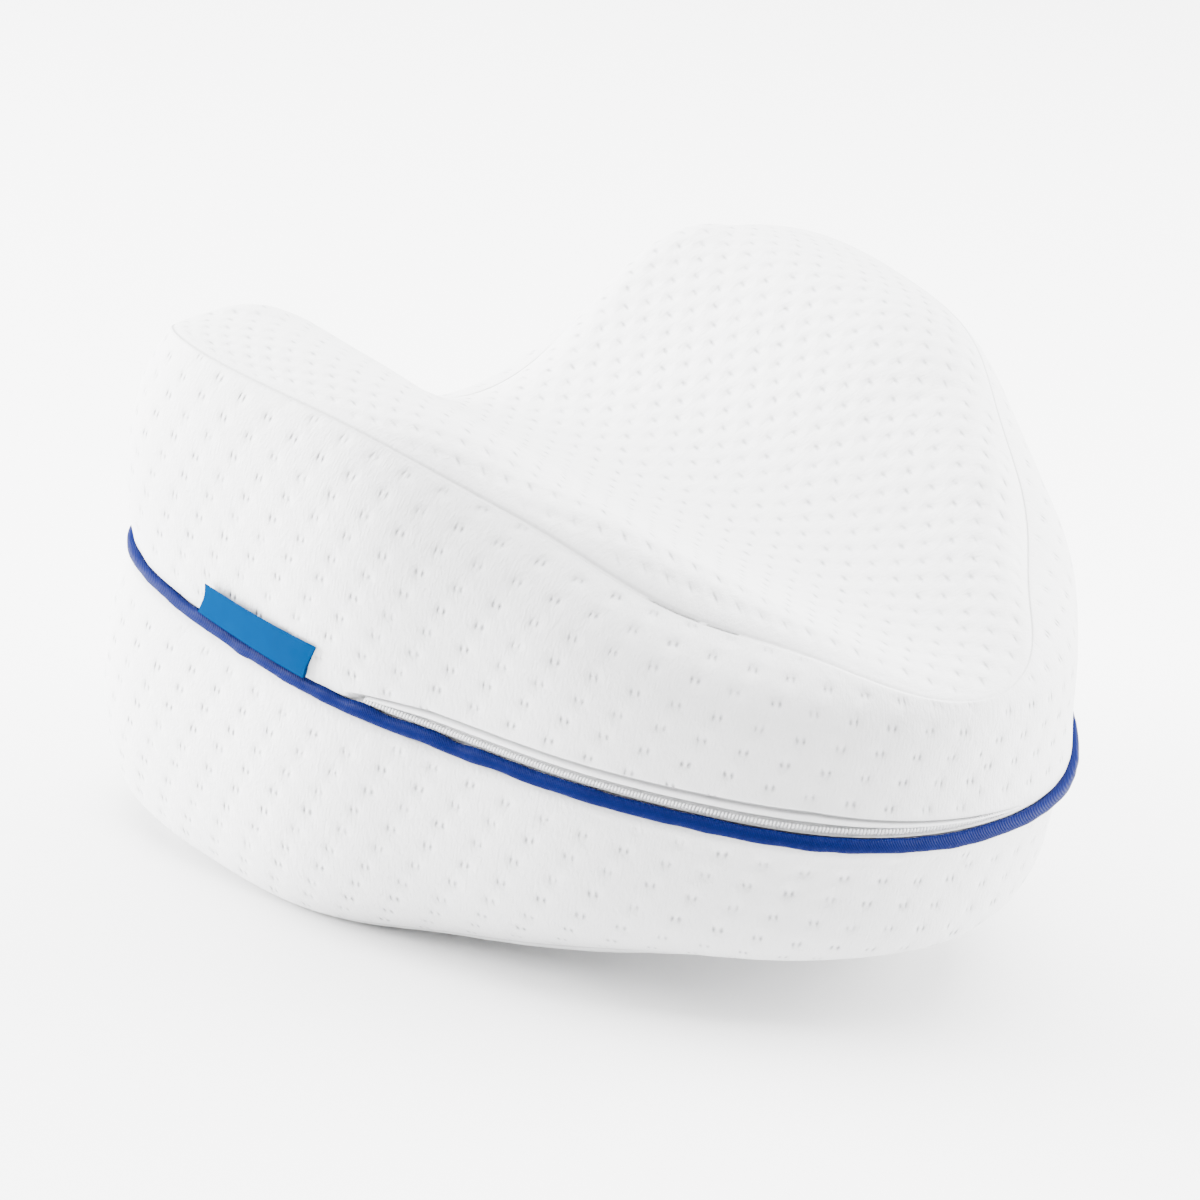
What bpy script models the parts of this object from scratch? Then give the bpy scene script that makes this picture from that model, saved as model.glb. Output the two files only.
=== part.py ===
# Contoured knee pillow: a foam filled cushion in a knitted cover, heart shaped in plan,
# hollowed along its length on both faces, with a corded piping round its middle,
# a zip above the piping on one flank and a plain folded tag.
# Frame: +Z up, the pillow resting on z = 0, +X towards its narrow thin end.
import math
import bpy
import bmesh
import numpy as np
from mathutils import Matrix, Vector

MM = 0.001

# The pillow is symmetric about its piping plane, which leans down towards the thin end.
PIPING_PLANE_TILT = math.radians(5.0)
PLANE_HEIGHT = 65.0 * MM
PLANE_SHIFT_X = 0.8 * MM

# One row for each station round half of the pillow, thin end first, in degrees and millimetres.
# Seam height and seam inset place the seam between side wall and face; bulge is the wall's swell.
STATION_COLUMNS = ("angle", "piping_radius", "seam_height", "seam_inset", "wall_bulge")
STATIONS = (
    (0, 117, 34, 6, -3),
    (20, 113, 39, 15, -3),
    (40, 103, 43, 18, -1),
    (60, 98, 51, 16, 1),
    (80, 100, 60, 13, 2),
    (100, 111, 66, 9, 3),
    (120, 128, 65, 4, 4),
    (140, 141, 56, 3, 4),
    (160, 119, 34, 7, 4),
    (180, 107, 25, 11, 4),
)
WALL_ROUNDING = 6.0

# The hollow face: height over the piping plane along the middle, and how it climbs to the lobes.
FACE_SPAN = 100.0 * MM
HOLLOW_HEIGHT = 35.0 * MM
HOLLOW_SLOPE = 4.4 * MM
HOLLOW_CROWN = 1.5 * MM
LOBE_RISE = 101.5 * MM
LOBE_RISE_SLOPE = -12.0 * MM
LOBE_FALL = 92.0 * MM
TIP_SHOULDER = 20.0 * MM
LOBE_EDGE_ROLL = 16.0 * MM

# The sewn channel where a side wall meets a face.
SEAM_CHANNEL = 0.9 * MM

# Foam pressed flat where it bears on the surface below.
BEARING_BLEND = 0.8 * MM

PIPING_RADIUS = 2.1 * MM
CLEARANCE = 0.3 * MM
GROOVE_TURNS = (math.radians(32.0), math.radians(62.0))

# The zip lies in a shallow recess between the piping and the upper side wall.
ZIP_START = math.radians(-91.0)
ZIP_END = math.radians(9.0)
ZIP_END_ROOM = math.radians(4.0)
ZIP_RECESS_TOP = 7.3 * MM
ZIP_RECESS_DEPTH = 1.5 * MM
ZIP_COIL_LOW = 2.5 * MM
ZIP_COIL_HIGH = 3.9 * MM
ZIP_TAPE_LOW = 4.6 * MM
ZIP_TAPE_HIGH = 6.7 * MM
ZIP_FACE = 0.2 * MM

# The tag is sewn in above the piping and stands against the wall, its fold a little askew.
TAG_START = math.radians(-115.7)
TAG_END = math.radians(-97.0)
TAG_SLIP = math.radians(1.7)
TAG_LOW = 2.6 * MM
TAG_HIGH = 12.8 * MM
TAG_THICKNESS = 1.2 * MM
TAG_STEPS = 6

AROUND = 96
WALL_STEPS = (0.10, 0.22, 0.35, 0.48, 0.60, 0.71, 0.80, 0.88, 0.93, 0.965)
FACE_STEPS = (0.985, 0.965, 0.94, 0.91, 0.87, 0.82, 0.76, 0.68, 0.58, 0.46, 0.32, 0.16)


def column(name):
    index = STATION_COLUMNS.index(name)
    return np.array([row[index] for row in STATIONS], float) * MM


def cosine_weights(name):
    angles = np.radians([row[0] for row in STATIONS])
    orders = np.arange(len(STATIONS))
    return np.linalg.solve(np.cos(np.outer(angles, orders)), column(name))


WEIGHTS = {name: cosine_weights(name) for name in STATION_COLUMNS[1:]}


def at_angle(name, angle):
    weights = WEIGHTS[name]
    return sum(weight * math.cos(order * angle) for order, weight in enumerate(weights))


def piping_point(angle):
    radius = at_angle("piping_radius", angle)
    return np.array((radius * math.cos(angle), radius * math.sin(angle)))


def piping_normal(angle):
    step = math.radians(1.0)
    along = piping_point(angle + step) - piping_point(angle - step)
    outward = np.array((along[1], -along[0]))
    return outward / np.linalg.norm(outward)


def wall_offset(angle, share):
    lean = at_angle("seam_inset", angle) * share ** WALL_ROUNDING
    swell = 4.0 * at_angle("wall_bulge", angle) * share * (1.0 - share)
    return swell - lean


def face_height(x, y):
    hollow = HOLLOW_HEIGHT + HOLLOW_SLOPE * x / FACE_SPAN - HOLLOW_CROWN * (x / FACE_SPAN) ** 2
    rise = LOBE_RISE + LOBE_RISE_SLOPE * x / FACE_SPAN
    across = (y / FACE_SPAN) ** 2
    return hollow + rise * across - LOBE_FALL * across ** 2


def section_point(angle, offset, height):
    x, y = piping_point(angle) + offset * piping_normal(angle)
    return Vector((x, y, height))


def zip_mask(angle):
    wrapped = math.atan2(math.sin(angle), math.cos(angle))
    return 1.0 if ZIP_START - ZIP_END_ROOM <= wrapped <= ZIP_END + ZIP_END_ROOM else 0.0


def wall_profile(angle, upper):
    seam_height = at_angle("seam_height", angle)
    groove = PIPING_RADIUS + CLEARANCE
    recess = ZIP_RECESS_DEPTH * zip_mask(angle) if upper else 0.0
    rows = []
    for turn in GROOVE_TURNS:
        rows.append((-groove * math.cos(turn), groove * math.sin(turn)))
    rows.append((min(wall_offset(angle, groove / seam_height), 0.0) - recess, groove))
    lip = ZIP_RECESS_TOP
    rows.append((wall_offset(angle, lip / seam_height) - recess, lip - CLEARANCE))
    rows.append((wall_offset(angle, lip / seam_height), lip))
    for step in WALL_STEPS:
        height = lip + (seam_height - lip) * step
        rows.append((wall_offset(angle, height / seam_height), height))
    rows.append((wall_offset(angle, 1.0) - SEAM_CHANNEL, seam_height - SEAM_CHANNEL))
    return rows


def face_profile(angle):
    seam_height = at_angle("seam_height", angle)
    seam = section_point(angle, wall_offset(angle, 1.0), seam_height)
    reach = math.hypot(seam.x, seam.y)
    drop = face_height(seam.x, seam.y) - seam_height
    rows = []
    for share in FACE_STEPS:
        x, y = seam.x * share, seam.y * share
        inside = (1.0 - share) * reach
        if drop > 0.0:
            edge = drop * max(0.0, 1.0 - inside / TIP_SHOULDER) ** 2
        else:
            edge = drop * math.exp(-inside / LOBE_EDGE_ROLL)
        rows.append(Vector((x, y, face_height(x, y) - edge)))
    return rows


def place(point):
    lean = Matrix.Rotation(PIPING_PLANE_TILT, 3, "Y")
    return lean @ Vector(point) + Vector((PLANE_SHIFT_X, 0.0, PLANE_HEIGHT))


def bear_on_surface(point):
    if point.z < -BEARING_BLEND:
        point.z = 0.0
    elif point.z < BEARING_BLEND:
        point.z = (point.z + BEARING_BLEND) ** 2 / (4.0 * BEARING_BLEND)
    return point


def station_angles():
    return [2.0 * math.pi * index / AROUND for index in range(AROUND)]


def angles_between(start, end):
    step = 2.0 * math.pi / AROUND
    first = math.ceil(start / step)
    last = math.floor(end / step)
    return [index * step for index in range(first, last + 1)]


def fabric(name, colour, roughness):
    material = bpy.data.materials.new(name)
    material.use_nodes = True
    shader = material.node_tree.nodes["Principled BSDF"]
    shader.inputs["Base Color"].default_value = (*colour, 1.0)
    shader.inputs["Roughness"].default_value = roughness
    shader.inputs["Metallic"].default_value = 0.0
    return material


def add_object(name, shape, collection, material):
    bmesh.ops.recalc_face_normals(shape, faces=shape.faces)
    mesh = bpy.data.meshes.new(name)
    shape.to_mesh(mesh)
    shape.free()
    mesh.materials.append(material)
    mesh.polygons.foreach_set("use_smooth", [True] * len(mesh.polygons))
    item = bpy.data.objects.new(name, mesh)
    collection.objects.link(item)
    return item


def bridge(shape, first, second):
    count = len(first)
    for index in range(count):
        after = (index + 1) % count
        shape.faces.new((first[index], first[after], second[after], second[index]))


def cushion_shape():
    shape = bmesh.new()
    angles = station_angles()
    upper = [wall_profile(angle, True) for angle in angles]
    lower = [wall_profile(angle, False) for angle in angles]
    faces = [face_profile(angle) for angle in angles]
    rings = []
    for step in reversed(range(len(FACE_STEPS))):
        rings.append([Vector((rows[step].x, rows[step].y, -rows[step].z)) for rows in faces])
    for step in reversed(range(len(lower[0]))):
        rings.append([section_point(angle, rows[step][0], -rows[step][1])
                      for angle, rows in zip(angles, lower)])
    rings.append([section_point(angle, -(PIPING_RADIUS + CLEARANCE), 0.0) for angle in angles])
    for step in range(len(upper[0])):
        rings.append([section_point(angle, rows[step][0], rows[step][1])
                      for angle, rows in zip(angles, upper)])
    for step in range(len(FACE_STEPS)):
        rings.append([rows[step] for rows in faces])
    loops = [[shape.verts.new(bear_on_surface(place(point))) for point in ring] for ring in rings]
    for first, second in zip(loops, loops[1:]):
        bridge(shape, first, second)
    for loop, height in ((loops[0], -HOLLOW_HEIGHT), (loops[-1], HOLLOW_HEIGHT)):
        centre = shape.verts.new(place((0.0, 0.0, height)))
        for index in range(AROUND):
            shape.faces.new((loop[index], loop[(index + 1) % AROUND], centre))
    return shape


def piping_shape():
    shape = bmesh.new()
    sides = 10
    loops = []
    for angle in station_angles():
        loop = []
        for side in range(sides):
            turn = 2.0 * math.pi * side / sides
            point = section_point(angle, PIPING_RADIUS * math.cos(turn), PIPING_RADIUS * math.sin(turn))
            loop.append(shape.verts.new(place(point)))
        loops.append(loop)
    for first, second in zip(loops, loops[1:] + loops[:1]):
        bridge(shape, first, second)
    return shape


def strip_shape(angles, section):
    shape = bmesh.new()
    loops = []
    for angle in angles:
        loops.append([shape.verts.new(place(section_point(*point))) for point in section(angle)])
    for first, second in zip(loops, loops[1:]):
        bridge(shape, first, second)
    shape.faces.new(loops[0])
    shape.faces.new(loops[-1])
    return shape


def recess_floor(angle, height):
    seam_height = at_angle("seam_height", angle)
    groove = PIPING_RADIUS + CLEARANCE
    low = min(wall_offset(angle, groove / seam_height), 0.0)
    high = wall_offset(angle, ZIP_RECESS_TOP / seam_height)
    share = (height - groove) / (ZIP_RECESS_TOP - CLEARANCE - groove)
    return low + (high - low) * share - ZIP_RECESS_DEPTH


def zip_section(low, high):
    bevel = 0.3 * MM

    def section(angle):
        floor_low = recess_floor(angle, low) + CLEARANCE
        floor_high = recess_floor(angle, high) + CLEARANCE
        face = ZIP_RECESS_DEPTH - CLEARANCE + ZIP_FACE
        return (
            (angle, floor_low, low),
            (angle, floor_low + face - bevel, low),
            (angle, floor_low + face, low + bevel),
            (angle, floor_high + face, high - bevel),
            (angle, floor_high + face - bevel, high),
            (angle, floor_high, high),
        )
    return section


def tag_section(angle):
    above = angle + TAG_SLIP
    root = wall_offset(angle, TAG_LOW / at_angle("seam_height", angle)) + 2.0 * CLEARANCE
    tip = wall_offset(above, TAG_HIGH / at_angle("seam_height", above)) + 3.0 * CLEARANCE
    fold = 0.4 * MM
    return (
        (angle, root, TAG_LOW),
        (angle, root + TAG_THICKNESS, TAG_LOW),
        (above, tip + TAG_THICKNESS, TAG_HIGH - fold),
        (above, tip + 0.5 * TAG_THICKNESS, TAG_HIGH),
        (above, tip, TAG_HIGH - fold),
    )


for item in list(bpy.data.objects):
    bpy.data.objects.remove(item)

pillow = bpy.data.collections.new("knee_pillow")
bpy.context.scene.collection.children.link(pillow)
white_knit = fabric("white_knit", (0.86, 0.86, 0.87), 0.9)
blue_cord = fabric("blue_cord", (0.005, 0.045, 0.30), 0.75)
blue_tape = fabric("blue_tape", (0.035, 0.22, 0.55), 0.8)
white_tape = fabric("white_tape", (0.80, 0.80, 0.81), 0.85)
white_coil = fabric("white_coil", (0.82, 0.82, 0.83), 0.45)

add_object("cushion", cushion_shape(), pillow, white_knit)
add_object("piping", piping_shape(), pillow, blue_cord)
zip_angles = angles_between(ZIP_START, ZIP_END)
add_object("zip_coil", strip_shape(zip_angles, zip_section(ZIP_COIL_LOW, ZIP_COIL_HIGH)),
           pillow, white_coil)
add_object("zip_tape", strip_shape(zip_angles, zip_section(ZIP_TAPE_LOW, ZIP_TAPE_HIGH)),
           pillow, white_tape)
tag_angles = np.linspace(TAG_START, TAG_END, TAG_STEPS)
add_object("side_tag", strip_shape(tag_angles, tag_section), pillow, blue_tape)
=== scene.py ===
import math

import bpy
import numpy as np
from mathutils import Matrix, Vector, noise


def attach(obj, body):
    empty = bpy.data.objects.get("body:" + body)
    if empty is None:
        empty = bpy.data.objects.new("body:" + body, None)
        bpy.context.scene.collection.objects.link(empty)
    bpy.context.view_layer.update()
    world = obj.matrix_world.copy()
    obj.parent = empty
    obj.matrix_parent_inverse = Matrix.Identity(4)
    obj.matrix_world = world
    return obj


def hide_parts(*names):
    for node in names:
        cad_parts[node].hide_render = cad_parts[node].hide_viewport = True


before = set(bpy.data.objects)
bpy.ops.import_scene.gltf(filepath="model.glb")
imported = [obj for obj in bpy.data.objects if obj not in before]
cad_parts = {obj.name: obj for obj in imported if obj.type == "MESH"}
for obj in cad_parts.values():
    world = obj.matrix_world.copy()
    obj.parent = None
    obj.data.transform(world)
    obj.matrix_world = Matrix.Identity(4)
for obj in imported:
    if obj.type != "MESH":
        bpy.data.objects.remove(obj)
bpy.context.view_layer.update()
MM = 0.001

# Pillow body: one contoured block of memory foam in a stretch knit cover. Two face panels are
# hollowed along their length, two side panels run round the flanks, and all are sewn edge to
# edge. The block is mirrored about its piping plane, which leans a little to the thin end.
PLANE_LEAN = math.radians(5.0)
PLANE_SET = Vector((0.8 * MM, 0.0, 65.0 * MM))
PATTERN_COLUMNS = ("angle", "piping_radius", "seam_height", "seam_inset", "wall_bulge")
PATTERN = (
    (0, 117, 34, 6, -3),
    (20, 113, 39, 15, -3),
    (40, 103, 43, 18, -1),
    (60, 98, 51, 16, 1),
    (80, 100, 60, 13, 2),
    (100, 111, 66, 9, 3),
    (120, 128, 65, 4, 4),
    (140, 141, 56, 3, 4),
    (160, 119, 34, 7, 4),
    (180, 107, 25, 11, 4),
)
GROOVE = 2.15 * MM
ZIP_START, ZIP_END = math.radians(-91.0), math.radians(9.0)
ZIP_TOP = 7.3 * MM
ZIP_SHUT = 2.9 * MM
ZIP_POCKET = 1.5 * MM


def pattern_curve(column):
    index = PATTERN_COLUMNS.index(column)
    turns = np.radians([row[0] for row in PATTERN])
    values = np.array([row[index] for row in PATTERN], float) * MM
    orders = np.arange(len(PATTERN))
    weights = np.linalg.solve(np.cos(np.outer(turns, orders)), values)
    return lambda angle: np.cos(np.multiply.outer(angle, orders)) @ weights


piping_reach = pattern_curve("piping_radius")
seam_rise = pattern_curve("seam_height")
seam_inset = pattern_curve("seam_inset")
wall_bulge = pattern_curve("wall_bulge")


def piping_line(angle):
    reach = piping_reach(angle)
    return np.stack([reach * np.cos(angle), reach * np.sin(angle)], -1)


def outward(angle):
    step = math.radians(0.5)
    along = piping_line(angle + step) - piping_line(angle - step)
    normal = np.stack([along[..., 1], -along[..., 0]], -1)
    return normal / np.linalg.norm(normal, axis=-1, keepdims=True)


def wall_stand(angle, share):
    lean = seam_inset(angle) * share ** 6.0
    return 4.0 * wall_bulge(angle) * share * (1.0 - share) - lean


def face_rise(x, y):
    along, across = x / (100 * MM), (y / (100 * MM)) ** 2
    hollow = (35.0 + 4.4 * along - 1.5 * along ** 2) * MM
    return hollow + (101.5 - 12.0 * along) * MM * across - 92.0 * MM * across ** 2


def zip_open(angle):
    # How far the panel's sewn edge stands off the piping: it dips to it at both ends of the zip.
    start = np.clip((angle - ZIP_START) / math.radians(13.0), 0, 1) ** 0.6
    return start * np.clip((ZIP_END - angle) / math.radians(32.0), 0, 1)


def at_rest(points):
    # From the pattern's own plane to the pillow as it lies.
    lean = np.array(Matrix.Rotation(PLANE_LEAN, 3, "Y"))
    return points @ lean.T + np.array(PLANE_SET)


def pressed(points):
    # What would sink into the floor is flattened on it, with a soft turn at the edge.
    rise, soft = points[..., 2], 0.8 * MM
    eased = np.where(rise < -soft, 0.0, (rise + soft) ** 2 / (4 * soft))
    points[..., 2] = np.where(rise < soft, eased, rise)
    return points


ROUND = 384
around = np.linspace(0.0, 2 * math.pi, ROUND, endpoint=False)
line = piping_line(around)
normals = outward(around)
seam_top = seam_rise(around)
seam_path = line + normals * wall_stand(around, 1.0)[:, None]
walk = np.linalg.norm(np.roll(line, -1, 0) - line, axis=1)
travel = np.concatenate([[0.0], np.cumsum(walk)])
turned = np.where(around > math.pi, around - 2 * math.pi, around)
zip_room = np.clip((turned - ZIP_START) / 0.04, 0, 1) * np.clip((ZIP_END - turned) / 0.10, 0, 1)
# The cover is slackest about the tag and the start of the zip.
tag_slack = np.clip((turned + 2.5) / 0.5, 0, 1) * np.clip((-1.0 - turned) / 0.5, 0, 1)
# How plain the face seam is: along the zip's flank its channel is deep and its painted shade line dark,
# elsewhere both are pulled nearly flat.
sewn = 0.12 + 0.88 * np.clip((-0.40 - turned) / 0.40, 0, 1) * np.clip((turned + math.pi) / 0.5, 0, 1)


def ripple(points, length, seed):
    shift = Vector((seed, 0.7 * seed, 0.0))
    flat = points.reshape(-1, points.shape[-1])
    values = [noise.noise(Vector((*spot, 0.0)[:3]) / length + shift) for spot in flat]
    return np.array(values).reshape(points.shape[:-1])


# Close rows of the cloth at its edges, in millimetres: over the zip's lip as height above it and
# depth behind the wall, under the face seam as drop and depth, and past it as inset and sink.
LIP_ROWS = ((0.0, 0.75), (0.06, 0.34), (0.3, 0.06), (0.75, -0.06), (1.4, -0.08))
UNDER_SEAM_ROWS = ((1.2, 0.0), (0.75, 0.04), (0.38, 0.16), (0.14, 0.36), (0.34, 0.52))
PAST_SEAM_ROWS = ((0.70, 0.40), (0.88, 0.20), (1.2, 0.05), (1.9, -0.06), (2.8, -0.05),
                  (4.0, 0.0), (5.6, 0.0), (7.6, 0.0))
LAST_INSET = 9.8 * MM
TUG = 0.22 * MM


def wall_rings(upper):
    # Each row is a sewn or stretched line of the side panel, from the piping up to the face seam.
    rise = seam_top
    room = zip_room if upper else 0.0 * zip_room
    pocket = ZIP_POCKET * room * (1 + 1.5 * np.exp(-((turned - ZIP_START - 0.045) / 0.03) ** 2))
    edge = ZIP_SHUT + (ZIP_TOP - ZIP_SHUT) * zip_open(turned) if upper else ZIP_TOP
    lip_at = np.where(room > 0, edge, ZIP_TOP)
    rows = [(-GROOVE * math.cos(turn) * np.ones(ROUND), GROOVE * math.sin(turn) * np.ones(ROUND))
            for turn in (0.35, 0.75, 1.15)]
    low = np.minimum(wall_stand(around, GROOVE / rise), 0.0)
    lip = wall_stand(around, lip_at / rise)
    rows.append((low - pocket, GROOVE * np.ones(ROUND)))
    rows.append(((low + lip) / 2 - pocket, 0.5 * (GROOVE + lip_at)))
    rows.append((lip - pocket, lip_at - 0.12 * MM))
    for above, behind in LIP_ROWS:
        height = lip_at + above * MM
        rows.append((wall_stand(around, height / rise) - behind * MM * room, height))
    first = lip_at + 1.4 * MM
    for step in np.linspace(0.0, 1.0, 27)[1:-1] ** 0.97:
        height = first + (rise - 1.2 * MM - first) * step
        rows.append((wall_stand(around, height / rise), height))
    for below, inside in UNDER_SEAM_ROWS:
        height = rise - (below * sewn + 0.55 * below * (1 - sewn)) * MM
        rows.append((wall_stand(around, height / rise) - inside * MM, height))
    puckers = 0.30 * MM * ripple(line, 6.5 * MM, 2.0 if upper else 9.0)
    for index, (stand, height) in enumerate(rows):
        near = np.exp(-(height - GROOVE) / (6.0 * MM)) * (index > 2) * (1 - 0.6 * room)
        tug = ripple(line, 7.0 * MM, 5.0) * np.exp(-(rise - height) / (5.0 * MM))
        tug = tug * np.clip((rise - height) / (2.0 * MM), 0, 1)
        rows[index] = (stand + puckers * near * (0.5 + tag_slack) + TUG * tug, height)
    return rows


def face_rings():
    # Each row is the face seam's outline drawn in, from the stitch line to the middle of the face.
    seam = seam_path
    reach = np.linalg.norm(seam, axis=1)
    drop = face_rise(seam[:, 0], seam[:, 1]) - seam_top
    rows = []

    def edge_fall(inside):
        shoulder = np.maximum(0.0, 1.0 - inside / (20.0 * MM)) ** 2
        return drop * np.where(drop > 0, shoulder, np.exp(-inside / (16.0 * MM)))

    for inside, sunk in PAST_SEAM_ROWS:
        inner = seam * (1 - inside * MM / reach)[:, None]
        fall = edge_fall(inside * MM) + sunk * (0.35 + 0.65 * sewn) * MM
        tug = TUG * ripple(line, 7.0 * MM, 5.0) * min(1.0, inside / 2.0) * math.exp(-inside / 5.0)
        height = face_rise(inner[:, 0], inner[:, 1]) - fall + tug
        rows.append(np.column_stack([inner, height]))
    for part in np.linspace(1.0, 0.05, 35):
        share = part * (1 - LAST_INSET / reach)
        inner = seam * share[:, None]
        height = face_rise(inner[:, 0], inner[:, 1]) - edge_fall((1 - share) * reach)
        rows.append(np.column_stack([inner, height]))
    return rows


SWELL_FROM, SWELL_OVER = 9.0 * MM, 18.0 * MM
SAG, SAG_AT, SAG_SPREAD = 3.4 * MM, -0.74, 0.32
SAG_FROM, SAG_ACROSS = 12.0 * MM, 30.0 * MM


def slackened(rings, is_wall, calm):
    # Slack in the cover: broad soft swells that die out at the seams, the piping and the zip.
    height = np.abs(rings[..., 2])
    hold = calm * np.where(is_wall, np.clip((height - SWELL_FROM) / SWELL_OVER, 0, 1), 1.0)
    swell = hold * MM * (0.75 * ripple(rings, 52 * MM, 1.0) + 0.40 * ripple(rings, 19 * MM, 4.0))
    flare = np.concatenate([normals, np.zeros((ROUND, 1))], axis=1)[None]
    lift = np.where(rings[..., 2:] < 0, -1.0, 1.0) * np.array([0.0, 0.0, 1.0])
    rings = rings + swell[..., None] * np.where(is_wall[..., None], flare, lift)
    # The cover hangs slack under the flank, so the lower seam sags on to the floor there.
    sag = SAG * np.exp(-0.5 * ((turned - SAG_AT) / SAG_SPREAD) ** 2)
    away = np.linalg.norm(rings[..., :2] - seam_path, axis=-1)
    held = np.where(is_wall, np.clip((height - SAG_FROM) / (seam_top - SAG_FROM), 0, 1) ** 1.5,
                    np.clip(1 - away / SAG_ACROSS, 0, 1) ** 2)
    rings[..., 2] -= sag * held * (rings[..., 2] < 0)
    return rings


def cloth_lengths(rings, height):
    # How far each point lies up the side panel and across the face panel, along the cloth.
    shares = np.linspace(0.0, 1.0, 61)
    slant = np.diff([wall_stand(around, share) for share in shares], axis=0)
    rungs = np.concatenate([np.zeros((1, ROUND)), np.cumsum(np.hypot(slant, seam_top / 60.0), axis=0)])
    climb = np.array([[np.interp(level / top, shares, rungs[:, side])
                       for side, (level, top) in enumerate(zip(ring, seam_top))] for ring in height])
    sweep = rings[..., 1][..., None] * np.linspace(0.0, 1.0, 25)
    slope = np.gradient(face_rise(rings[..., 0][..., None] + 0 * sweep, sweep), axis=-1)
    width = np.abs(rings[..., 1])[..., None] / 24.0 + 1e-9
    drape = rings[..., 1] * np.sqrt(1 + (slope / width) ** 2).mean(-1)
    return climb * np.sign(rings[..., 2]), drape


def stretch_over(name, upper_wall, lower_wall, face):
    # The closed skin: lower face, lower wall, piping groove, upper wall, upper face.
    # The seam's dark line is painted shade: a mask along the face seam darkens the cloth's colour where the
    # seam's crease would be shaded.
    rings, kinds, eases, seam_shade_mask = [], [], [], []

    def add_wall(stand, height, sign):
        rings.append(np.column_stack([line + normals * stand[:, None], sign * height]))
        kinds.append("wall")
        clear = np.clip((height - 5.0 * MM) / (1.5 * MM), 0, 1)
        eases.append((np.clip((seam_top - height) / (1.8 * MM), 0, 1), clear))
        seam_shade_mask.append(np.exp(-((seam_top - height) / (0.42 * MM)) ** 2))

    def add_face(row, sign):
        rings.append(row * np.array([1, 1, sign]))
        kinds.append("face")
        away = np.linalg.norm(row[:, :2] - seam_path, axis=1)
        eases.append((np.clip((away - 1.8 * MM) / (3.5 * MM), 0, 1), np.ones(ROUND)))
        seam_shade_mask.append(np.exp(-(np.maximum(away - 0.7 * MM, 0) / (0.25 * MM)) ** 2))

    for row in reversed(face):
        add_face(row, -1)
    for stand, height in reversed(lower_wall):
        add_wall(stand, height, -1)
    for stand, height in upper_wall:
        add_wall(stand, height, 1)
    for row in face:
        add_face(row, 1)
    rings = np.array(rings)
    seam_shade_mask = np.array(seam_shade_mask) * sewn
    calm = np.array([ease[0] for ease in eases])
    clear = np.array([ease[1] for ease in eases])
    count = len(rings)
    height = np.abs(rings[..., 2])
    is_wall = np.array([kind == "wall" for kind in kinds])[:, None]
    rings = slackened(rings, is_wall, calm)
    climb, drape = cloth_lengths(rings, height)
    placed = pressed(at_rest(rings.copy()))
    middle = np.array([[0.0, 0.0, -35.0 * MM], [0.0, 0.0, 35.0 * MM]])
    points = np.concatenate([placed.reshape(-1, 3), at_rest(middle)])
    quads, slots, places = [], [], []
    for ring in range(count - 1):
        wall = kinds[ring] == "wall" and kinds[ring + 1] == "wall"
        for side in range(ROUND):
            after = (side + 1) % ROUND
            quads.append((ring * ROUND + side, ring * ROUND + after,
                          (ring + 1) * ROUND + after, (ring + 1) * ROUND + side))
            slots.append(0 if wall else 1)
            corners = ((ring, side, side), (ring, after, side + 1),
                       (ring + 1, after, side + 1), (ring + 1, side, side))
            for row, spot, stop in corners:
                if wall:
                    places.append((travel[stop], climb[row, spot]))
                else:
                    places.append((rings[row, spot, 0], drape[row, spot]))
    for ring, tip, flip in ((0, count * ROUND, True), (count - 1, count * ROUND + 1, False)):
        for side in range(ROUND):
            after = (side + 1) % ROUND
            order = (after, side) if flip else (side, after)
            quads.append((ring * ROUND + order[0], ring * ROUND + order[1], tip))
            slots.append(1)
            for spot in order:
                places.append((rings[ring, spot, 0], drape[ring, spot]))
            places.append((0.0, 0.0))
    mesh = bpy.data.meshes.new(name)
    mesh.from_pydata(points.tolist(), [], quads)
    layer = mesh.uv_layers.new(name="knit")
    layer.data.foreach_set("uv", np.array(places, np.float32).ravel())
    for label, values, centre in (("seam_ease", calm * clear, 1.0), ("seam_shade_line", seam_shade_mask, 0.0)):
        layer = mesh.attributes.new(label, "FLOAT", "POINT")
        layer.data.foreach_set("value", np.append(values.ravel(), [centre, centre]).astype(np.float32))
    mesh.polygons.foreach_set("material_index", slots)
    mesh.polygons.foreach_set("use_smooth", [True] * len(quads))
    mesh.update()
    piece = bpy.data.objects.new(name, mesh)
    bpy.context.scene.collection.objects.link(piece)
    return piece


cover = stretch_over("knit_cover", wall_rings(True), wall_rings(False), face_rings())


def socket(group, name, kind, way="INPUT", value=None):
    made = group.interface.new_socket(name=name, in_out=way, socket_type="NodeSocket" + kind)
    if value is not None:
        made.default_value = value
    return made


def node(tree, kind, **settings):
    made = tree.nodes.new("ShaderNode" + kind)
    for key, value in settings.items():
        setattr(made, key, value)
    return made


def feed(tree, target, *sources):
    for index, source in enumerate(sources):
        if hasattr(source, "links"):
            tree.links.new(source, target.inputs[index])
        else:
            target.inputs[index].default_value = source
    return target.outputs[0]


def maths(tree, operation, *sources):
    return feed(tree, node(tree, "Math", operation=operation), *sources)


def vectors(tree, operation, *sources):
    made = node(tree, "VectorMath", operation=operation)
    feed(tree, made, *sources)
    return made


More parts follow.
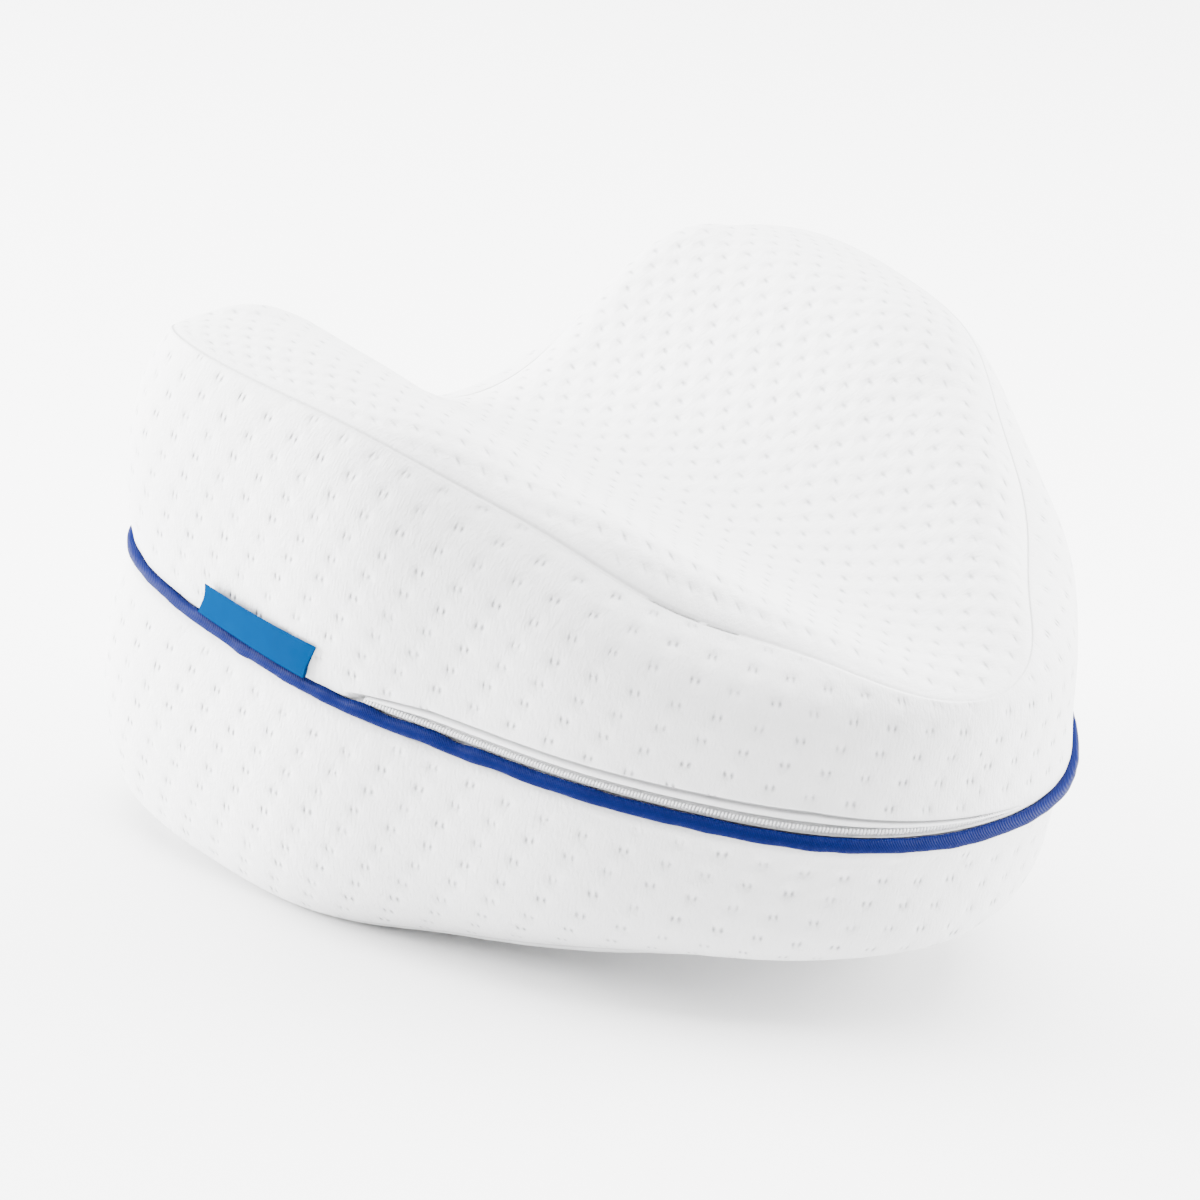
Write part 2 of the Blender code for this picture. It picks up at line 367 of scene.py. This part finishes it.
# The knit: a white jacquard with a pin hole dimple in every repeat and fine upright wales.
# It reads the cloth's own map, in metres along and across the cut panel.
pin_knit = bpy.data.node_groups.new("pin dimple knit", "ShaderNodeTree")
socket(pin_knit, "Cloth", "Vector")
socket(pin_knit, "Repeat", "Vector")
socket(pin_knit, "Course", "Vector")
socket(pin_knit, "Pair Gap", "Float", value=0.85)
socket(pin_knit, "Tick Turn", "Float", value=0.0)
socket(pin_knit, "Tick Wide", "Float", value=0.4)
socket(pin_knit, "Tick Long", "Float", value=0.8)
socket(pin_knit, "Tick Depth", "Float", value=1.0)
socket(pin_knit, "Ease", "Float", value=1.0)
socket(pin_knit, "Height", "Float", "OUTPUT")
socket(pin_knit, "Pit Shade", "Float", "OUTPUT")
socket(pin_knit, "Shade", "Float", "OUTPUT")
inside = pin_knit.nodes.new("NodeGroupInput")
outside = pin_knit.nodes.new("NodeGroupOutput")
in_mm = vectors(pin_knit, "SCALE", inside.outputs["Cloth"])
in_mm.inputs["Scale"].default_value = 1000.0
wander = node(pin_knit, "TexNoise", noise_dimensions="3D")
wander.inputs["Scale"].default_value = 0.11
wander.inputs["Detail"].default_value = 2.0
pin_knit.links.new(in_mm.outputs[0], wander.inputs["Vector"])
centred = vectors(pin_knit, "SUBTRACT", wander.outputs["Color"], (0.5, 0.5, 0.5))
strayed = vectors(pin_knit, "SCALE", centred.outputs[0])
strayed.inputs["Scale"].default_value = 1.8
spot = vectors(pin_knit, "ADD", in_mm.outputs[0], strayed.outputs[0]).outputs[0]
repeat, course = inside.outputs["Repeat"], inside.outputs["Course"]


def turn_of(first, second):
    crossed = vectors(pin_knit, "CROSS_PRODUCT", first, second)
    split = node(pin_knit, "SeparateXYZ")
    feed(pin_knit, split, crossed.outputs[0])
    return split.outputs["Z"]


cell = turn_of(repeat, course)
along = maths(pin_knit, "DIVIDE", turn_of(spot, course), cell)
across = maths(pin_knit, "DIVIDE", turn_of(repeat, spot), cell)
near_along = maths(pin_knit, "SUBTRACT", maths(pin_knit, "FRACT", along), 0.5)
near_across = maths(pin_knit, "SUBTRACT", maths(pin_knit, "FRACT", across), 0.5)
part_one = vectors(pin_knit, "SCALE", repeat)
pin_knit.links.new(near_along, part_one.inputs["Scale"])
part_two = vectors(pin_knit, "SCALE", course)
pin_knit.links.new(near_across, part_two.inputs["Scale"])
local = vectors(pin_knit, "ADD", part_one.outputs[0], part_two.outputs[0]).outputs[0]
turned_spot = node(pin_knit, "VectorRotate", rotation_type="Z_AXIS")
pin_knit.links.new(local, turned_spot.inputs["Vector"])
pin_knit.links.new(inside.outputs["Tick Turn"], turned_spot.inputs["Angle"])
tick = node(pin_knit, "SeparateXYZ")
feed(pin_knit, tick, turned_spot.outputs[0])
beside = maths(pin_knit, "ABSOLUTE", tick.outputs["X"])
beside = maths(pin_knit, "SUBTRACT", beside, inside.outputs["Pair Gap"])


def well(side, upright, wide, long):
    one = maths(pin_knit, "DIVIDE", side, wide)
    two = maths(pin_knit, "DIVIDE", upright, long)
    spread = maths(pin_knit, "MULTIPLY_ADD", one, one, maths(pin_knit, "MULTIPLY", two, two))
    return maths(pin_knit, "EXPONENT", maths(pin_knit, "MULTIPLY", spread, -1.0))


which = node(pin_knit, "CombineXYZ")
feed(pin_knit, which, maths(pin_knit, "FLOOR", along), maths(pin_knit, "FLOOR", across))
lot = node(pin_knit, "TexWhiteNoise", noise_dimensions="2D")
pin_knit.links.new(which.outputs[0], lot.inputs["Vector"])
strength = maths(pin_knit, "MULTIPLY_ADD", lot.outputs["Value"], 0.55, 0.45)
ragged = node(pin_knit, "TexNoise", noise_dimensions="3D")
ragged.inputs["Scale"].default_value = 1.9
ragged.inputs["Detail"].default_value = 2.0
pin_knit.links.new(in_mm.outputs[0], ragged.inputs["Vector"])
frayed = maths(pin_knit, "MULTIPLY_ADD", ragged.outputs["Fac"], 1.1, 0.45)
strength = maths(pin_knit, "MULTIPLY", strength, frayed)
strength = maths(pin_knit, "MULTIPLY", strength, inside.outputs["Ease"])
strength = maths(pin_knit, "MULTIPLY", strength, inside.outputs["Tick Depth"])
pin = maths(pin_knit, "MULTIPLY", strength,
            well(beside, tick.outputs["Y"], inside.outputs["Tick Wide"], inside.outputs["Tick Long"]))
hollow = well(tick.outputs["X"], tick.outputs["Y"], 2.1, 1.9)
hollow = maths(pin_knit, "MULTIPLY", inside.outputs["Ease"], hollow)
split_spot = node(pin_knit, "SeparateXYZ")
feed(pin_knit, split_spot, in_mm.outputs[0])
wale = maths(pin_knit, "SINE", maths(pin_knit, "MULTIPLY", split_spot.outputs["X"], 7.4))
course_line = maths(pin_knit, "SINE", maths(pin_knit, "MULTIPLY", split_spot.outputs["Y"], 8.3))
stitch = maths(pin_knit, "MULTIPLY", wale, maths(pin_knit, "MULTIPLY_ADD", course_line, 0.35, 0.65))
patches = node(pin_knit, "TexNoise", noise_dimensions="3D")
patches.inputs["Scale"].default_value = 1.05
patches.inputs["Detail"].default_value = 5.0
patches.inputs["Roughness"].default_value = 0.6
squeezed = vectors(pin_knit, "MULTIPLY", in_mm.outputs[0], (1.0, 0.45, 1.0))
pin_knit.links.new(squeezed.outputs[0], patches.inputs["Vector"])
uneven = maths(pin_knit, "SUBTRACT", patches.outputs["Fac"], 0.5)
low = maths(pin_knit, "MULTIPLY_ADD", pin, -0.50, maths(pin_knit, "MULTIPLY", hollow, -0.55))
fine = maths(pin_knit, "MULTIPLY_ADD", stitch, 0.009, maths(pin_knit, "MULTIPLY", uneven, 0.32))
pin_knit.links.new(maths(pin_knit, "ADD", low, fine), outside.inputs["Height"])
# The pin hole mask also goes out to darken the colour in each hole: painted shade.
pin_knit.links.new(pin, outside.inputs["Pit Shade"])
pin_knit.links.new(maths(pin_knit, "MULTIPLY_ADD", uneven, 0.10, 0.99), outside.inputs["Shade"])


def knit_cloth(name, repeat_step, course_step, **ticks):
    cloth = bpy.data.materials.new(name)
    cloth.use_nodes = True
    tree = cloth.node_tree
    skin = tree.nodes["Principled BSDF"]
    place = node(tree, "UVMap", uv_map="knit")
    group = tree.nodes.new("ShaderNodeGroup")
    group.node_tree = pin_knit
    tree.links.new(place.outputs["UV"], group.inputs["Cloth"])
    group.inputs["Repeat"].default_value = repeat_step
    group.inputs["Course"].default_value = course_step
    ease = node(tree, "Attribute", attribute_name="seam_ease")
    tree.links.new(ease.outputs["Fac"], group.inputs["Ease"])
    for label, value in ticks.items():
        group.inputs[label.replace("_", " ").title()].default_value = value
    # Painted shade: the base colour is mixed toward grey in each pin hole, where the hollow would lie in
    # shadow.
    shade = node(tree, "Mix", data_type="RGBA")
    shade.inputs["A"].default_value = (0.77, 0.77, 0.775, 1.0)
    shade.inputs["B"].default_value = (0.36, 0.36, 0.38, 1.0)
    tree.links.new(group.outputs["Pit Shade"], shade.inputs["Factor"])
    tint = node(tree, "VectorMath", operation="SCALE")
    tree.links.new(shade.outputs["Result"], tint.inputs[0])
    # Painted shade: the colour darkens along the face seam line; the rest of the tone varies at random.
    seam_shade_line = node(tree, "Attribute", attribute_name="seam_shade_line")
    tone_and_painted_shade = maths(tree, "MULTIPLY_ADD", seam_shade_line.outputs["Fac"], -0.28, group.outputs["Shade"])
    tree.links.new(tone_and_painted_shade, tint.inputs["Scale"])
    tree.links.new(tint.outputs[0], skin.inputs["Base Color"])
    bump = node(tree, "Bump")
    bump.inputs["Strength"].default_value = 1.0
    bump.inputs["Distance"].default_value = 0.001
    tree.links.new(group.outputs["Height"], bump.inputs["Height"])
    tree.links.new(bump.outputs["Normal"], skin.inputs["Normal"])
    skin.inputs["Roughness"].default_value = 0.88
    skin.inputs["Specular IOR Level"].default_value = 0.25
    skin.inputs["Sheen Weight"].default_value = 0.18
    skin.inputs["Sheen Roughness"].default_value = 0.5
    return cloth


side_knit = knit_cloth("white_knit_side", (10.4, -1.0, 0.0), (2.8, 6.6, 0.0),
                       pair_gap=0.85, tick_wide=0.36, tick_long=0.72)
face_knit = knit_cloth("white_knit_face", (4.41, 4.53, 0.0), (4.85, -5.14, 0.0), pair_gap=0.0,
                       tick_turn=math.radians(-73.0), tick_wide=0.42, tick_long=1.25, tick_depth=0.8)
cover.data.materials.append(side_knit)
cover.data.materials.append(face_knit)
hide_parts("cushion")
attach(cover, "root")

# Piping: a cotton cord wrapped in blue bias cut cloth, sewn between the two side panels all
# round the middle. It is bent from one closed curve and sits in the groove of the cover.
bpy.ops.object.select_all(action="DESELECT")
bpy.ops.curve.primitive_bezier_circle_add(radius=0.1)
piping = bpy.context.object
piping.name = "blue_piping"
cord = piping.data
cord.splines.clear()
run = cord.splines.new("POLY")
run.points.add(ROUND - 1)
run.use_cyclic_u = True
slim = np.clip((np.abs(turned + 0.75) - 0.85) / 0.5, 0, 1)
tuck = at_rest(np.column_stack([line + normals * (0.1 * MM * slim)[:, None], -0.12 * MM * np.ones(ROUND)]))
slack = 0.8 + 0.5 * tag_slack
sway = 0.45 * MM * ripple(tuck, 8.5 * MM, 6.0) * slack
lumps = 1.0 + 0.14 * ripple(tuck, 5.5 * MM, 3.0) * slack - 0.12 * slim
for point, spot, rise, lump in zip(run.points, tuck, sway, lumps):
    point.co = (*(Vector(spot) + Vector((0.0, 0.0, rise))), 1.0)
    point.radius = lump
cord.dimensions = "3D"
cord.bevel_depth = 1.87 * MM
cord.bevel_resolution = 5
bpy.ops.object.convert(target="MESH")
piping = bpy.context.object
bpy.ops.object.shade_smooth()
bpy.ops.object.transform_apply(location=True, rotation=True, scale=True)


def woven_blue(name, colour, pale, ribs, roughness, gloss):
    cloth = bpy.data.materials.new(name)
    cloth.use_nodes = True
    tree = cloth.node_tree
    skin = tree.nodes["Principled BSDF"]
    place = node(tree, "TexCoord")
    threads = node(tree, "TexWave", wave_type="BANDS", bands_direction="DIAGONAL")
    threads.inputs["Scale"].default_value = ribs
    threads.inputs["Distortion"].default_value = 1.2
    threads.inputs["Detail"].default_value = 2.0
    tree.links.new(place.outputs["Object"], threads.inputs["Vector"])
    wear = node(tree, "TexNoise")
    wear.inputs["Scale"].default_value = 140.0
    wear.inputs["Detail"].default_value = 4.0
    tree.links.new(place.outputs["Object"], wear.inputs["Vector"])
    shade = node(tree, "Mix", data_type="RGBA")
    shade.inputs["A"].default_value = (*colour, 1.0)
    shade.inputs["B"].default_value = (*pale, 1.0)
    tree.links.new(maths(tree, "MULTIPLY", wear.outputs["Fac"], threads.outputs["Fac"]),
                   shade.inputs["Factor"])
    tree.links.new(shade.outputs["Result"], skin.inputs["Base Color"])
    bump = node(tree, "Bump")
    bump.inputs["Strength"].default_value = 0.5
    bump.inputs["Distance"].default_value = 0.0002
    tree.links.new(threads.outputs["Fac"], bump.inputs["Height"])
    tree.links.new(bump.outputs["Normal"], skin.inputs["Normal"])
    skin.inputs["Roughness"].default_value = roughness
    skin.inputs["Specular IOR Level"].default_value = gloss
    return cloth


piping.data.materials.clear()
piping.data.materials.append(woven_blue("blue_cord_cloth", (0.0003, 0.003, 0.050), (0.0015, 0.009, 0.088),
                                        760.0, 0.5, 0.04))
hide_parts("piping")
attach(piping, "root")

# Zip tape: a woven polyester tape, ribbed along its length, sewn under the edge of the upper
# side panel. Only the strip above the coil shows, from the flank round to the thin end.


def wall_place(angle, stand, height):
    angle, height = np.atleast_1d(angle), np.atleast_1d(height)
    spots = piping_line(angle) + outward(angle) * np.atleast_1d(stand)[:, None]
    return at_rest(np.column_stack([spots, height]))


def recess_floor(angle, height):
    rise = seam_rise(angle)
    low = np.minimum(wall_stand(angle, GROOVE / rise), 0.0)
    high = wall_stand(angle, ZIP_TOP / rise)
    return low + (high - low) * (height - GROOVE) / (ZIP_TOP - GROOVE) - ZIP_POCKET


TAPE_START, TAPE_END = ZIP_START + 0.06, ZIP_END - 0.02
TAPE_LEVELS = (4.05, 4.5, 4.72, 4.95, 5.3, 5.75, 6.1, 6.3, 6.5, 7.5)
TAPE_CROWN = (-0.65, -0.6, 0.1, 0.55, 0.74, 0.74, 0.55, 0.1, -0.6, -0.65)
bpy.ops.object.select_all(action="DESELECT")
bpy.ops.mesh.primitive_grid_add(x_subdivisions=240, y_subdivisions=9, size=2.0)
tape = bpy.context.object
tape.name = "zip_tape_strip"
dip_rows = [round(9 * (vertex.co.y + 1) / 2) for vertex in tape.data.vertices]
for vertex in tape.data.vertices:
    share = (vertex.co.x + 1) / 2
    row = dip_rows[vertex.index]
    angle = np.array([TAPE_START + (TAPE_END - TAPE_START) * share])
    level = TAPE_LEVELS[row] * MM
    height = ZIP_SHUT + (level - ZIP_SHUT) * zip_open(angle) - 0.3 * MM * (1 - zip_open(angle))
    stand = recess_floor(angle, height) + (0.75 + TAPE_CROWN[row]) * MM
    vertex.co = Vector(wall_place(angle, stand, height)[0])
# The tape looks grey along both edges, where it dips out of the light under coil and cover.
dips = tape.data.attributes.new("dip_shade", "FLOAT", "POINT")
for vertex, dip in zip(tape.data.vertices, dips.data):
    dip.value = min(1.0, max(0.0, 0.5 - 1.6 * TAPE_CROWN[dip_rows[vertex.index]]))
thick = tape.modifiers.new("thickness", "SOLIDIFY")
thick.thickness = 0.35 * MM
thick.offset = -1.0
bpy.ops.object.modifier_apply(modifier="thickness")
bpy.ops.object.shade_smooth_by_angle(angle=math.radians(50))


def zip_white(name, colour, roughness, ribs):
    finish = bpy.data.materials.new(name)
    finish.use_nodes = True
    tree = finish.node_tree
    skin = tree.nodes["Principled BSDF"]
    place = node(tree, "TexCoord")
    grain = node(tree, "TexNoise")
    grain.inputs["Scale"].default_value = ribs
    grain.inputs["Detail"].default_value = 3.0
    tree.links.new(place.outputs["Object"], grain.inputs["Vector"])
    shade = node(tree, "Mix", data_type="RGBA")
    shade.inputs["A"].default_value = (*[value * 0.86 for value in colour], 1.0)
    shade.inputs["B"].default_value = (*colour, 1.0)
    tree.links.new(grain.outputs["Fac"], shade.inputs["Factor"])
    # Painted shade: the colour is mixed toward grey where the dip_shade attribute marks the tape's dipped
    # edges.
    dip = node(tree, "Attribute", attribute_name="dip_shade")
    tone_and_painted_shade = node(tree, "Mix", data_type="RGBA")
    tone_and_painted_shade.inputs["B"].default_value = (0.34, 0.34, 0.35, 1.0)
    tree.links.new(maths(tree, "MULTIPLY", dip.outputs["Fac"], 0.85), tone_and_painted_shade.inputs["Factor"])
    tree.links.new(shade.outputs["Result"], tone_and_painted_shade.inputs["A"])
    tree.links.new(tone_and_painted_shade.outputs["Result"], skin.inputs["Base Color"])
    bump = node(tree, "Bump")
    bump.inputs["Strength"].default_value = 0.4
    bump.inputs["Distance"].default_value = 0.0002
    tree.links.new(grain.outputs["Fac"], bump.inputs["Height"])
    tree.links.new(bump.outputs["Normal"], skin.inputs["Normal"])
    skin.inputs["Roughness"].default_value = roughness
    return finish


tape.data.materials.append(zip_white("zip_tape_cloth", (0.82, 0.82, 0.83), 0.85, 1400.0))
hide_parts("zip_tape")
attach(tape, "root")

# Zip coil: a polyester coil whose turns lock along the middle, close above the piping. One turn
# is shaped and then copied along the seam, each copy with its own mesh.
bpy.ops.object.select_all(action="DESELECT")
bpy.ops.mesh.primitive_uv_sphere_add(segments=8, ring_count=6, radius=1.0)
turn = bpy.context.object
turn.name = "zip_coil_turn"
TURNS = 205
coil_at = np.linspace(ZIP_START + 0.055, TAPE_END, TURNS)
step = 0.5 * (coil_at[1] - coil_at[0])
turns = []
for angle in coil_at:
    here = np.array([angle])
    seated = min(1.0, 3.0 * zip_open(angle))
    level = (2.5 + 0.7 * seated) * MM
    stand = recess_floor(here, level) + (0.35 + 0.65 * seated) * MM
    centre = Vector(wall_place(here, stand, level)[0])
    side = Vector(wall_place(here + step, stand, 3.25 * MM)[0]) - centre
    up = Vector(wall_place(here, stand, level + 1.0 * MM)[0]) - centre
    out = side.normalized().cross(up.normalized())
    frame_of = Matrix((side.normalized() * side.length * 0.86, out * 0.58 * MM,
                       (up.normalized() + 0.2 * side.normalized()) * 0.76 * MM)).transposed().to_4x4()
    copy = turn.copy()
    copy.data = turn.data.copy()
    copy.data.transform(Matrix.Translation(centre) @ frame_of)
    bpy.context.scene.collection.objects.link(copy)
    turns.append(copy)
bpy.data.objects.remove(turn)
bpy.ops.object.select_all(action="DESELECT")
for copy in turns:
    copy.select_set(True)
bpy.context.view_layer.objects.active = turns[0]
bpy.ops.object.join()
coil = bpy.context.object
coil.name = "zip_coil_turns"
bpy.ops.object.mode_set(mode="EDIT")
bpy.ops.mesh.select_all(action="SELECT")
bpy.ops.mesh.normals_make_consistent(inside=False)
bpy.ops.object.mode_set(mode="OBJECT")
bpy.ops.object.shade_smooth()
coil.data.materials.clear()
coil.data.materials.append(zip_white("zip_coil_nylon", (0.84, 0.84, 0.85), 0.42, 900.0))
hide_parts("zip_coil")
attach(coil, "root")

# Side tag: a short length of plain blue woven ribbon, folded double with the fold uppermost and
# its cut ends caught in the seam above the piping. It is bare of any words.
TAG_START, TAG_END, TAG_SLIP = math.radians(-115.7), math.radians(-97.0), math.radians(1.7)
bpy.ops.object.select_all(action="DESELECT")
bpy.ops.mesh.primitive_grid_add(x_subdivisions=48, y_subdivisions=16, size=2.0)
tag = bpy.context.object
tag.name = "blue_side_tag"
for vertex in tag.data.vertices:
    share = (vertex.co.x + 1) / 2
    round_fold = math.pi * (vertex.co.y + 1) / 2
    climb_share = math.sin(round_fold)
    height = (2.7 + 10.0 * climb_share ** 0.75) * MM
    swept = 1 - (1 - climb_share) ** 2.4
    slip = TAG_SLIP * (share * climb_share + (1 - share) * swept)
    angle = np.array([TAG_START + (TAG_END - TAG_START) * share + slip])
    lift = 0.4 * MM * math.cos(round_fold) * (1 - 0.5 * climb_share)
    curl = 0.35 * MM * math.sin(4.2 * share + 0.4) * climb_share + 0.5 * MM * climb_share * (1 - share) ** 3
    wall = wall_stand(angle, height / seam_rise(angle))
    stand = wall + 0.95 * MM - lift + curl + 0.35 * MM * climb_share
    vertex.co = Vector(wall_place(angle, stand, height)[0])
thick = tag.modifiers.new("thickness", "SOLIDIFY")
thick.thickness = 0.35 * MM
thick.offset = 0.0
bpy.ops.object.modifier_apply(modifier="thickness")
bpy.ops.object.shade_smooth_by_angle(angle=math.radians(55))
tag.data.materials.append(woven_blue("blue_tag_ribbon", (0.0004, 0.026, 0.095), (0.0008, 0.040, 0.130),
                                     1500.0, 0.7, 0.0))
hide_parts("side_tag")
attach(tag, "root")

# Floor: a seamless pale paper sweep under the pillow, wide enough to fill the view to its
# corners, set a hair below the cover so that the two never share a face.
bpy.ops.object.select_all(action="DESELECT")
bpy.ops.mesh.primitive_plane_add(size=8.0, location=(0.0, 0.0, -0.0002))
floor = bpy.context.object
floor.name = "floor"
bpy.ops.object.transform_apply(location=True, rotation=True, scale=True)
paper = bpy.data.materials.new("white_sweep")
paper.use_nodes = True
paper_skin = paper.node_tree.nodes["Principled BSDF"]
paper_skin.inputs["Base Color"].default_value = (0.93, 0.93, 0.93, 1.0)
paper_skin.inputs["Roughness"].default_value = 0.9
paper_skin.inputs["Specular IOR Level"].default_value = 0.1
floor.data.materials.append(paper)

# Studio light: a bright white surround, a broad softbox overhead and a little behind, and a
# softbox to each side, so that both ends are light and the flank between them is a little dim.
world = bpy.data.worlds.new("studio")
bpy.context.scene.world = world
world.use_nodes = True
world.node_tree.nodes["Background"].inputs["Color"].default_value = (1.0, 1.0, 1.0, 1.0)
world.node_tree.nodes["Background"].inputs["Strength"].default_value = 0.37


def softbox(name, place, power, size):
    lamp = bpy.data.lights.new(name, "AREA")
    lamp.shape = "SQUARE"
    lamp.size = size
    lamp.energy = power
    light = bpy.data.objects.new(name, lamp)
    light.location = place
    light.rotation_mode = "QUATERNION"
    light.rotation_quaternion = (Vector((0.0, 0.0, 0.06)) - Vector(place)).to_track_quat("-Z", "Y")
    bpy.context.scene.collection.objects.link(light)


EYE_TURN, EYE_RISE, EYE_ROLL = math.radians(-41.68), math.radians(21.42), math.radians(-5.58)
back = Vector((math.cos(EYE_TURN) * math.cos(EYE_RISE), math.sin(EYE_TURN) * math.cos(EYE_RISE),
               math.sin(EYE_RISE)))
right = Vector((-math.sin(EYE_TURN), math.cos(EYE_TURN), 0.0))
up = back.cross(right)
softbox("overhead", Vector((0, 0, 1.4)) - 0.30 * back, 150.0, 2.0)
softbox("left_side", -1.35 * right + 0.36 * up - 0.07 * back, 172.0, 1.0)
softbox("right_side", 1.25 * right + 0.50 * up - 0.15 * back, 95.0, 1.0)

# Camera: a long lens a metre and a half away and a little above the zip's flank, turned a few
# degrees about its own line of sight, as the photograph is.
EYE_AWAY, EYE_LEFT, EYE_HIGH = 1.5375, 19.13 * MM, 8.30 * MM
eye_data = bpy.data.cameras.new("camera")
eye_data.lens = 179.9
eye_data.sensor_width = 36.0
eye_data.clip_start = 0.05
eye = bpy.data.objects.new("camera", eye_data)
eye_right = right * math.cos(EYE_ROLL) - up * math.sin(EYE_ROLL)
eye_up = right * math.sin(EYE_ROLL) + up * math.cos(EYE_ROLL)
eye_place = PLANE_SET + back * EYE_AWAY - eye_right * EYE_LEFT + eye_up * EYE_HIGH
eye.matrix_world = Matrix.Translation(eye_place) @ Matrix((eye_right, eye_up, back)).transposed().to_4x4()
bpy.context.scene.collection.objects.link(eye)
bpy.context.scene.camera = eye
